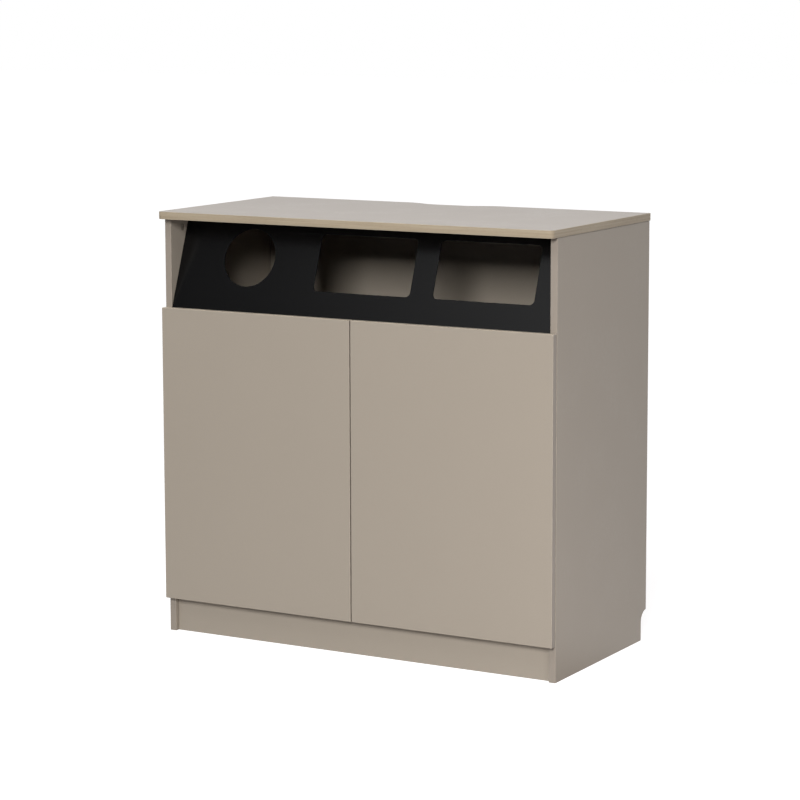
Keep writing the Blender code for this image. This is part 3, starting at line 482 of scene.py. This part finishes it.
def dress(tree, shader, sockets, height=None, depth=0.0):
    """Feeds the shader's sockets, and its normal from a bump of this depth."""
    for name, value in sockets.items():
        wire(tree, shader.inputs[name], value)
    if height is not None:
        inputs = {"Height": height, "Distance": depth, "Strength": BUMP_STRENGTH}
        wire(tree, shader.inputs["Normal"], add_node(tree, "ShaderNodeBump", inputs).outputs["Normal"])


def board_finish(node, colour, wear_and_highlight):
    """Laminate on a board: its edging's fine joint line, and pale edges that are partly rubbed, partly
    painted highlight.
    """
    material, tree, shader, place = new_finish(f"{node}_laminate")
    low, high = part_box(node)
    thin = np.eye(3)[np.array(high - low).argmin()]
    face = use_group(tree, LAMINATE, {"Place": place, "Colour": colour})
    edge = use_group(tree, BOARD_EDGES, {"Place": place, "Low": low, "High": high, "Thin": thin})
    edged = mix_colours(tree, edge["Edging"], face["Colour"], TAUPE_EDGING)
    # Pale arris and pale upper face: partly rubbed, partly a painted highlight.
    worn_and_highlit = mix_colours(tree, maths(tree, "MULTIPLY", edge["Arris"], wear_and_highlight["arris"]), edged, TAUPE_ARRIS)
    handled_and_highlit = mix_colours(tree, maths(tree, "MULTIPLY", edge["Upper Edge"], wear_and_highlight["upper_edge"]), worn_and_highlit, TAUPE_ARRIS)
    seamed = mix_colours(tree, maths(tree, "MULTIPLY", edge["Seam"], SEAM_SHARE), handled_and_highlit, TAUPE_SEAM)
    height = maths(tree, "MULTIPLY_ADD", edge["Seam"], -SEAM_SUNK, face["Height"])
    sockets = {"Base Color": seamed, "Roughness": face["Roughness"], "Specular IOR Level": LAMINATE_GLOSS}
    dress(tree, shader, sockets, height, LAMINATE_BUMP)
    return material


def edging_finish():
    """Printed wood-look edging: figure along the strip, and pale arrises, partly whitened by the trimming
    cutter and partly painted highlight.
    """
    material, tree, shader, _ = new_finish("wood_look_edging")
    strip = add_node(tree, "ShaderNodeAttribute", attribute_name="strip").outputs["Vector"]
    figure = use_group(tree, WOOD, {"Place": strip})
    printed = mix_colours(tree, figure["Figure"], BAND_PALE, BAND_DARK)
    # Pale arrises of the edging: partly trimming pallor, partly a painted highlight.
    uneven = ramp(tree, mottle(tree, strip, *TRIM_AND_HIGHLIGHT_UNEVEN), *TRIM_AND_HIGHLIGHT_MASK)
    trimmed_and_highlit = maths(tree, "MULTIPLY", split(tree, strip)["Z"], uneven)
    sockets = {
        "Base Color": mix_colours(tree, trimmed_and_highlit, printed, BAND_ARRIS),
        "Roughness": around(tree, figure["Figure"], *BAND_ROUGHNESS),
    }
    dress(tree, shader, sockets, figure["Height"], BAND_BUMP)
    return material


def coat_finish():
    """Satin black powder coat: orange-peel texture and a faint speckle."""
    material, tree, shader, place = new_finish("black_powder_coat")
    peel = mottle(tree, place, *COAT_PEEL)
    speck = mottle(tree, place, *COAT_SPECK)
    sockets = {
        "Base Color": tint(tree, COAT_BLACK, around(tree, speck, *COAT_TONE)),
        "Roughness": around(tree, peel, *COAT_ROUGHNESS),
        "Specular IOR Level": COAT_GLOSS,
    }
    dress(tree, shader, sockets, peel, COAT_BUMP)
    return material


def metal_finish(name, colour, grain, roughness):
    material, tree, shader, place = new_finish(name)
    inputs = {"Place": place, "Colour": colour, "Grain": grain, "Roughness": roughness}
    metal = use_group(tree, METAL, inputs)
    sockets = {"Base Color": metal["Colour"], "Roughness": metal["Roughness"], "Metallic": 1.0}
    dress(tree, shader, sockets, metal["Height"], METAL_BUMP)
    return material


def beech_finish():
    material, tree, shader, place = new_finish("beech")
    figure = use_group(tree, WOOD, {"Place": place})
    sockets = {
        "Base Color": mix_colours(tree, figure["Figure"], BEECH_PALE, BEECH_DARK),
        "Roughness": around(tree, figure["Figure"], *BEECH_ROUGHNESS),
    }
    dress(tree, shader, sockets, figure["Height"], BEECH_BUMP)
    return material


def bin_finish():
    """Moulded plastic: a spark-eroded texture, upright draw marks and paler scuffs from bags and tins."""
    material, tree, shader, place = new_finish("moulded_bin_plastic")
    texture = mottle(tree, place, *BIN_TEXTURE)
    drawn = ramp(tree, mottle(tree, place, *BIN_DRAWN), *SCUFF_MASK)
    scuff = maths(tree, "MULTIPLY", drawn, use_group(tree, SMUDGES, {"Place": place})["Mask"])
    tone = maths(tree, "MULTIPLY_ADD", scuff, SCUFF_TONE, around(tree, texture, *BIN_TONE))
    rough = maths(tree, "MULTIPLY_ADD", scuff, SCUFF_ROUGHNESS, around(tree, texture, *BIN_ROUGHNESS))
    sockets = {"Base Color": tint(tree, BIN_GREY, tone), "Roughness": rough}
    dress(tree, shader, sockets, texture, BIN_BUMP)
    return material


def bumper_finish():
    """Soft clear plastic, a little cloudy inside, its roughness following the cloud."""
    material, tree, shader, place = new_finish("clear_bumper_plastic")
    cloud = mottle(tree, place, *BUMPER_CLOUD)
    sockets = {
        "Base Color": tint(tree, BUMPER_CLEAR, around(tree, cloud, *BUMPER_TONE)),
        "Roughness": around(tree, cloud, *BUMPER_ROUGHNESS),
        "Transmission Weight": BUMPER_TRANSMISSION,
        "IOR": BUMPER_IOR,
    }
    dress(tree, shader, sockets, cloud, BUMPER_BUMP)
    return material


def place_piece(mesh, material, body, crease):
    """Puts a mesh into the scene, smooth but for its creases, and hangs it on a body."""
    mesh.materials.append(material)
    mesh.shade_smooth()
    mesh.set_sharp_from_angle(angle=math.radians(crease))
    piece = bpy.data.objects.new(mesh.name, mesh)
    bpy.context.scene.collection.objects.link(piece)
    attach(piece, body)
    return piece


def surface(name, points, material, body, crease=SURFACE_CREASE):
    """A closed mesh over a grid of points: its columns are joined round, and its end rows are filled.

    The faces are turned round if the volume that they enclose comes out negative.
    """
    rows, columns = points.shape[:2]
    index = np.arange(rows * columns).reshape(rows, columns)
    after = np.roll(index, -1, axis=1)
    faces = np.stack((index[:-1], after[:-1], after[1:], index[1:]), axis=-1).reshape(-1, 4).tolist()
    faces += [index[0, ::-1].tolist(), index[-1].tolist()]
    flat = points.reshape(-1, 3)
    corners = np.array([(face[0], *pair) for face in faces for pair in zip(face[1:], face[2:])])
    if np.linalg.det(flat[corners] - flat.mean(0)).sum() < 0:
        faces = [face[::-1] for face in faces]
    mesh = bpy.data.meshes.new(name)
    mesh.from_pydata(flat.tolist(), [], faces)
    return place_piece(mesh, material, body, crease)


def joined_mesh(node):
    """A copy of a node's own surface with its triangles joined."""
    shape = bmesh.new()
    shape.from_mesh(frame["nodes"][node].data)
    bmesh.ops.remove_doubles(shape, verts=shape.verts, dist=JOIN_DISTANCE)
    mesh = bpy.data.meshes.new(f"{node}_surface")
    shape.to_mesh(mesh)
    shape.free()
    return mesh


def make_smooth_copy(node, mesh, material):
    """Puts a node's joined surface in its place, so that bends shade as curves and flats stay flat."""
    piece = place_piece(mesh, material, BODY_OF[node], PRESSED_CREASE)
    flats = piece.modifiers.new("flat_faces", "WEIGHTED_NORMAL")
    flats.keep_sharp = True
    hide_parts(node)


def make_sunk_cams(material):
    """The side panels' cams, sunk into their pockets as the shop leaves them.

    Depth is measured from the board's face. Down to the slot's floor, a point's depth is pressed together to
    a fixed share of itself and then lowered, so that the face goes down and the slot stays above the bolt.
    """
    for word, hand in HANDS:
        for row in ROWS:
            node = f"{word}_{row}_top_cam"
            mesh = joined_mesh(node)
            points = np.zeros(len(mesh.vertices) * 3)
            mesh.vertices.foreach_get("co", points)
            points = points.reshape(-1, 3)
            depth = hand * points[:, 0] - (hand * points[:, 0]).min()
            above_floor = depth < CAM_SLOT_FLOOR
            points[above_floor, 0] += hand * (CAM_SUNK - (1 - CAM_PRESSED) * depth[above_floor])
            mesh.vertices.foreach_set("co", points.ravel())
            make_smooth_copy(node, mesh, material)


def arc(centre, radius, start, end, steps):
    """Points on an arc about a centre in a plane, with both ends; angles in degrees."""
    angle = np.radians(np.linspace(start, end, steps + 1))
    return np.stack((centre[0] + radius * np.cos(angle), centre[1] + radius * np.sin(angle)), axis=1)


def make_edging(material):
    """The edging: a strip's section carried round the front and both ends of the top board.

    A point is the path's point, moved inwards along the path's normal by the section's first number and up by
    its second. The section is a thin upright rectangle with both outer arrises rounded. The attribute strip
    holds how far along the path a point is, its height, and 1 on the arrises.
    """
    low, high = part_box("top_edge_band")
    radius, steps = BAND_CORNER_RADIUS, BAND_CORNER_STEPS
    left = arc((low.x + radius, low.y + radius), radius, 180, 270, steps)
    right = arc((high.x - radius, low.y + radius), radius, 270, 360, steps)
    path = np.concatenate(([(low.x, high.y)], left, right, [(high.x, high.y)]))
    corners = [np.linspace(start, start + 90, steps + 1) for start in (180, 270)]
    turn = np.radians(np.concatenate(([180], *corners, [360])))
    inwards = -np.stack((np.cos(turn), np.sin(turn)), axis=1)
    height, arris = high.z - low.z, BAND_ARRIS_RADIUS
    foot = arc((arris, arris), arris, 270, 180, BAND_ARRIS_STEPS)
    head = arc((arris, height - arris), arris, 180, 90, BAND_ARRIS_STEPS)
    section = np.concatenate(([(BAND_THICKNESS, 0)], foot, head, [(BAND_THICKNESS, height)]))
    points = np.zeros((len(path), len(section), 3))
    points[:, :, :2] = path[:, None] + inwards[:, None] * section[None, :, :1]
    points[:, :, 2] = low.z + section[:, 1]
    band = surface("wood_look_edging", points, material, "carcass")
    along = np.concatenate(([0], np.cumsum(np.linalg.norm(np.diff(path, axis=0), axis=1))))
    strip = np.zeros_like(points)
    strip[:, :, 0] = along[:, None]
    strip[:, :, 1] = section[:, 1]
    strip[:, :, 2] = np.abs(section[:, 1] - height / 2) > height / 2 - arris * BAND_ARRIS_SHOWN
    layer = band.data.attributes.new("strip", "FLOAT_VECTOR", "POINT")
    layer.data.foreach_set("vector", strip.ravel())
    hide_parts("top_edge_band")


def bin_section(bottom, top):
    """A bin's section, up the outside, round the rim and down inside, as (inset from the rim, height)."""
    wall, turn, steps = BIN_WALL, BIN_FLOOR_ROUND, BIN_ROUND_STEPS
    bead = wall * BIN_BEAD
    heel = (BIN_RIM + BIN_TAPER + turn, bottom + turn)
    outside = arc(heel, turn, 270, 180, steps)
    under_rim = [
        (BIN_RIM + BIN_BELLY, top - BIN_BELLY_DROP),
        (BIN_RIM, top - BIN_NECK_DROP),
        (BIN_RIM, top - wall),
        (wall, top - wall),
    ]
    lip = arc((wall / 2, top - BIN_LIP + bead), wall / 2, 360, 180, steps)
    rim = arc((turn / 2, top - turn / 2), turn / 2, 180, 90, steps)
    inner_edge = arc((BIN_RIM + wall - bead, top - bead), bead, 90, 0, steps)
    inner_floor = arc(heel, turn - wall, 180, 270, steps)
    return np.concatenate((outside, under_rim, lip, rim, inner_edge, inner_floor))


def make_bin(node, material):
    """A tub: rounded rectangles lofted along the bin's section.

    A ring is drawn in by the section's inset and lies at its height. Its corner radius is the rim's less that
    inset, so that the corners keep one centre.
    """
    low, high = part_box(node)
    section = bin_section(low.z, high.z)
    inset, level = section[:, :1], section[:, 1:]
    corner = np.linspace(0, 90, BIN_CORNER_STEPS + 1)
    angle = np.radians(corner + 90 * np.arange(4)[:, None]).ravel()
    across = np.repeat([1, -1, -1, 1], BIN_CORNER_STEPS + 1)
    along = np.repeat([1, 1, -1, -1], BIN_CORNER_STEPS + 1)
    radius = np.maximum(BIN_CORNER_RADIUS - inset, BIN_RIM)
    middle, half = (low + high) / 2, (high - low) / 2
    points = np.stack((
        middle.x + across * (half.x - inset - radius) + radius * np.cos(angle),
        middle.y + along * (half.y - inset - radius) + radius * np.sin(angle),
        np.broadcast_to(level, (len(section), len(angle))),
    ), axis=-1)
    tub = surface(f"{node}_tub", points, material, "carcass", BIN_CREASE)
    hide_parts(node)


def axes_along(direction, spin):
    """Three axes, the last one along a direction, turned about it by an angle in turns."""
    turn = Vector(direction).to_track_quat("Z", "Y").to_matrix() @ Matrix.Rotation(TAU * spin, 3, "Z")
    return np.array(turn).T


def soft_step(distance, reach, soft):
    """1 within the reach and 0 beyond it, with a straight slope as wide as soft between them."""
    return np.clip((reach - abs(distance)) / soft + 0.5, 0, 1)


def make_screw(name, seat, direction, spin, material, body, head, height, shank, length):
    """A pan-head screw with a cross recess, turned round its axis.

    Across the head, the height falls with the square of the radius from the crown. Where the cross lies it
    drops by the recess's depth: the cross is the greater of two soft-edged bars at right angles.
    """
    angle = TAU * np.arange(SCREW_COLUMNS) / SCREW_COLUMNS
    share = np.concatenate((HEAD_FACE, HEAD_RIM))
    crown = 1 - HEAD_CROWN * share**2
    crown[-len(HEAD_SKIRT):] = HEAD_SKIRT
    x, y = share[:, None] * np.cos(angle), share[:, None] * np.sin(angle)
    upright = soft_step(x, CROSS_WIDTH, CROSS_WIDTH_SOFT) * soft_step(y, CROSS_LENGTH, CROSS_LENGTH_SOFT)
    level = soft_step(y, CROSS_WIDTH, CROSS_WIDTH_SOFT) * soft_step(x, CROSS_LENGTH, CROSS_LENGTH_SOFT)
    recess = CROSS_DEPTH * np.maximum(upright, level) * (1 - CROSS_RISE * share[:, None])
    rows = [np.stack((head * x, head * y, height * (crown[:, None] - recess)), axis=-1)]
    for reach, depth in ((shank, 0.0), (shank, -length), (shank * SCREW_TIP, -length - shank)):
        ring = np.stack((reach * np.cos(angle), reach * np.sin(angle), np.full_like(angle, depth)), axis=-1)
        rows.append(ring[None])
    points = np.array(seat) + np.concatenate(rows) @ axes_along(direction, spin)
    return surface(name, points, material, body, SCREW_CREASE)


def inner_and_outer(node, hand):
    """A piece's x nearest to the cabinet's middle, and its x farthest from it."""
    low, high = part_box(node)
    return (low.x, high.x) if hand > 0 else (high.x, low.x)


def make_hinge_screws(material):
    """Screws in the holes of each hinge: two in the cup's flange, two in the plate and two in the arm."""
    spin = 0.0
    for word, hand in HANDS:
        panel_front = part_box(f"{word}_side_panel")[0].y
        for level in LEVELS:
            hinge = f"{word}_{level}_hinge"
            cup_low, cup_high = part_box(f"{hinge}_cup")
            plate_low, plate_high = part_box(f"{hinge}_plate")
            bar_face, plate_seat = inner_and_outer(f"{hinge}_plate", hand)
            z = (plate_low.z + plate_high.z) / 2
            cup_x = (cup_low.x + cup_high.x) / 2 - hand * CUP_SCREW_INSET
            cup_face = cup_high.y - CUP_RIM_RAISE
            plate_face = plate_seat - hand * PLATE_THICKNESS
            for end, half in zip(LEVELS, (-0.5, 0.5)):
                spin += CUP_SCREW_TURN
                seat = (cup_x, cup_face, z + half * CUP_SCREW_SPACING)
                name = f"{hinge}_{end}_cup_screw"
                make_screw(name, seat, (0, 1, 0), spin, material, f"{word}_door", **CUP_SCREW)
                seat = (plate_face, panel_front + PLATE_SETBACK, z + half * PLATE_SCREW_SPACING)
                name = f"{hinge}_{end}_plate_screw"
                turned = spin + PLATE_SCREW_TURN
                make_screw(name, seat, (-hand, 0, 0), turned, material, "carcass", **PLATE_SCREW)
            uses = {
                "adjusting": plate_low.y + ARM_SCREW_MARGIN,
                "fixing": plate_high.y - 2 * ARM_SCREW_MARGIN,
            }
            for use, y in uses.items():
                spin += ARM_SCREW_TURN
                name = f"{hinge}_{use}_screw"
                make_screw(name, (bar_face, y, z), (-hand, 0, 0), spin, material, "carcass", **ARM_SCREW)


def make_panel_screws(material):
    """Pan-head screws through the sorting panel's end flanges, where their solids are."""
    for word, hand in HANDS:
        for level in LEVELS:
            node = f"{word}_{level}_panel_screw"
            low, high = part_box(node)
            middle, head = (low + high) / 2, (high.z - low.z) / 2
            top, _ = inner_and_outer(node, hand)
            seat = (top + hand * PANEL_SCREW["height"], middle.y, middle.z)
            name = f"{node}_turned"
            screw = make_screw(name, seat, (-hand, 0, 0), middle.z, material, "carcass", head, **PANEL_SCREW)
            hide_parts(node)


def make_bumper(node, material):
    """A door bumper: a low dome whose height falls with a power of the radius, facing away from the door."""
    low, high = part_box(node)
    centre, radius, height = (low + high) / 2, (high.x - low.x) / 2, high.y - low.y
    angle = TAU * np.arange(BUMPER_COLUMNS) / BUMPER_COLUMNS
    share = np.concatenate(([1.0], np.linspace(1.0, BUMPER_CENTRE, BUMPER_ROWS)))[:, None]
    rise = height * (BUMPER_SKIRT + (1 - BUMPER_SKIRT) * (1 - share**BUMPER_POWER))
    rise[0] = 0.0
    points = np.stack((
        centre.x + radius * share * np.cos(angle),
        np.broadcast_to(low.y + rise, (len(share), len(angle))),
        centre.z + radius * share * np.sin(angle),
    ), axis=-1)
    dome = surface(f"{node}_dome", points, material, BODY_OF[node])
    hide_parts(node)


def make_camera():
    data = bpy.data.cameras.new("camera")
    data.lens, data.sensor_width, data.shift_y = LENS, SENSOR, CAMERA_SHIFT
    camera = bpy.data.objects.new("camera", data)
    turn = Matrix.Rotation(CAMERA_YAW, 4, "Z") @ Matrix.Rotation(math.pi / 2 - CAMERA_PITCH, 4, "X")
    camera.matrix_world = Matrix.Translation(CAMERA_PLACE) @ turn @ Matrix.Rotation(CAMERA_ROLL, 4, "Z")
    bpy.context.scene.collection.objects.link(camera)
    bpy.context.scene.camera = camera


def sight(tree):
    """Two masks: 1 for rays from the camera, and 1 for rays from gloss or through clear pieces."""
    path = add_node(tree, "ShaderNodeLightPath").outputs
    mirrored = maths(tree, "MAXIMUM", path["Is Glossy Ray"], path["Is Transmission Ray"])
    return path["Is Camera Ray"], mirrored


def front_dimmed(tree, behind):
    """The level of the surroundings, from the dim front of the room to its white back."""
    return ramp(tree, behind, *ROOM_DIM_REACH, ROOM_FRONT, ROOM_WHITE)


def make_room():
    """White surroundings that light the cabinet softly from behind and from the left.

    The camera sees them white. Gloss sees a dim front of the room, with a lit right side and a window in it.
    """
    world = bpy.data.worlds.new("studio")
    bpy.context.scene.world = world
    world.use_nodes = True
    tree = world.node_tree
    camera, mirrored = sight(tree)
    x, y, z = split(tree, add_node(tree, "ShaderNodeTexCoord").outputs["Generated"])
    dim = front_dimmed(tree, y)
    window = maths(tree, "MULTIPLY", ramp(tree, z, *WINDOW_RISE), ramp(tree, y, *WINDOW_FRONT))
    side = maths(tree, "MULTIPLY_ADD", window, ROOM_WINDOW - ROOM_LAMP_SIDE, ROOM_LAMP_SIDE)
    lit_side = maths(tree, "MULTIPLY", side, ramp(tree, x, *LAMP_SIDE_REACH))
    gloss = maths(tree, "MAXIMUM", dim, lit_side)
    soft = maths(tree, "MAXIMUM", dim, ramp(tree, x, *ROOM_LEFT_REACH))
    light = maths(tree, "MULTIPLY", soft, ROOM_LIGHT)
    level = mix_values(tree, camera, mix_values(tree, mirrored, light, gloss), ROOM_WHITE)
    seen = maths(tree, "MAXIMUM", camera, mirrored)
    background = tree.nodes["Background"].inputs
    wire(tree, background["Strength"], level)
    wire(tree, background["Color"], mix_colours(tree, seen, ROOM_TINT, WHITE))


def floor_finish():
    """Pale paint that glows to white where it is seen, so that only the cabinet's shadow darkens it.

    The glow that gloss sees is dimmed towards the front, as the room is.
    """
    material, tree, shader, place = new_finish("floor_paint")
    camera, mirrored = sight(tree)
    away = vectors(tree, "LENGTH", place)
    behind = maths(tree, "DIVIDE", split(tree, place)["Y"], away)
    seen = maths(tree, "MAXIMUM", camera, maths(tree, "MULTIPLY", mirrored, front_dimmed(tree, behind)))
    glow = ramp(tree, away, *FLOOR_REACH, FLOOR_GLOW, 1.0)
    near, far = (FLOOR_COLOUR,) * 3, (FLOOR_FAR,) * 3
    sockets = {
        "Base Color": mix_colours(tree, ramp(tree, away, *FLOOR_REACH), near, far),
        "Roughness": 1.0,
        "Specular IOR Level": 0.0,
        "Emission Color": WHITE,
        "Emission Strength": maths(tree, "MULTIPLY", seen, glow),
    }
    dress(tree, shader, sockets)
    return material


def make_floor():
    half = FLOOR_WIDTH / 2
    corners = [(-half, -half, 0), (half, -half, 0), (half, half, 0), (-half, half, 0)]
    mesh = bpy.data.meshes.new("floor")
    mesh.from_pydata(corners, [], [(0, 1, 2, 3)])
    mesh.materials.append(floor_finish())
    floor = bpy.data.objects.new("floor", mesh)
    bpy.context.scene.collection.objects.link(floor)


def make_lamps():
    for name, lamp in LAMPS.items():
        data = bpy.data.lights.new(name, "AREA")
        data.shape = "RECTANGLE"
        data.size, data.size_y = lamp["size"]
        data.energy, data.color = lamp["power"], lamp["colour"]
        item = bpy.data.objects.new(name, data)
        item.location = lamp["place"]
        item.rotation_euler = (Vector(LAMP_AIM) - item.location).to_track_quat("-Z", "Y").to_euler()
        item.visible_camera = False
        item.visible_glossy = lamp["mirrored"]
        bpy.context.scene.collection.objects.link(item)


def paint(node, material):
    """Gives a CAD node its finish."""
    for slot in frame["nodes"][node].material_slots:
        slot.material = material


def paint_boards():
    for node in BOARDS:
        paint(node, board_finish(node, TAUPE, BOARD_WEAR_AND_HIGHLIGHT))
    for node in DOORS:
        paint(node, board_finish(node, TAUPE, DOOR_WEAR_AND_HIGHLIGHT))
    paint("top_board", board_finish("top_board", TOP_TAUPE, BOARD_WEAR_AND_HIGHLIGHT))


def make_finishes():
    """The other finishes, by the record's material slots."""
    return {
        "black_powder_coat": coat_finish(),
        "nickel_plated_steel": metal_finish("nickel_plate", NICKEL, NICKEL_GRAIN, NICKEL_ROUGHNESS),
        "zinc_cam": metal_finish("cast_zinc", ZINC, ZINC_GRAIN, ZINC_ROUGHNESS),
        "beech": beech_finish(),
        "bin_plastic": bin_finish(),
        "bumper_plastic": bumper_finish(),
        "wood_look_band": edging_finish(),
    }


def dress_cabinet():
    paint_boards()
    finishes = make_finishes()
    coat, nickel = finishes["black_powder_coat"], finishes["nickel_plated_steel"]
    for row in frame["record"]["subparts"]:
        if row["material_slot"] in finishes:
            paint(row["node"], finishes[row["material_slot"]])
    make_edging(finishes["wood_look_band"])
    for node in BINS:
        make_bin(node, finishes["bin_plastic"])
    for word, _ in HANDS:
        for level in LEVELS:
            make_bumper(f"{word}_{level}_bumper", finishes["bumper_plastic"])
    make_hinge_screws(nickel)
    make_panel_screws(nickel)
    make_sunk_cams(finishes["zinc_cam"])
    make_smooth_copy("sorting_panel", joined_mesh("sorting_panel"), coat)
    for node in BODY_OF:
        if node.endswith(HINGE_PIECES):
            make_smooth_copy(node, joined_mesh(node), nickel)


make_camera()
make_room()
make_floor()
make_lamps()
dress_cabinet()
bpy.context.scene.view_settings.view_transform = "Standard"
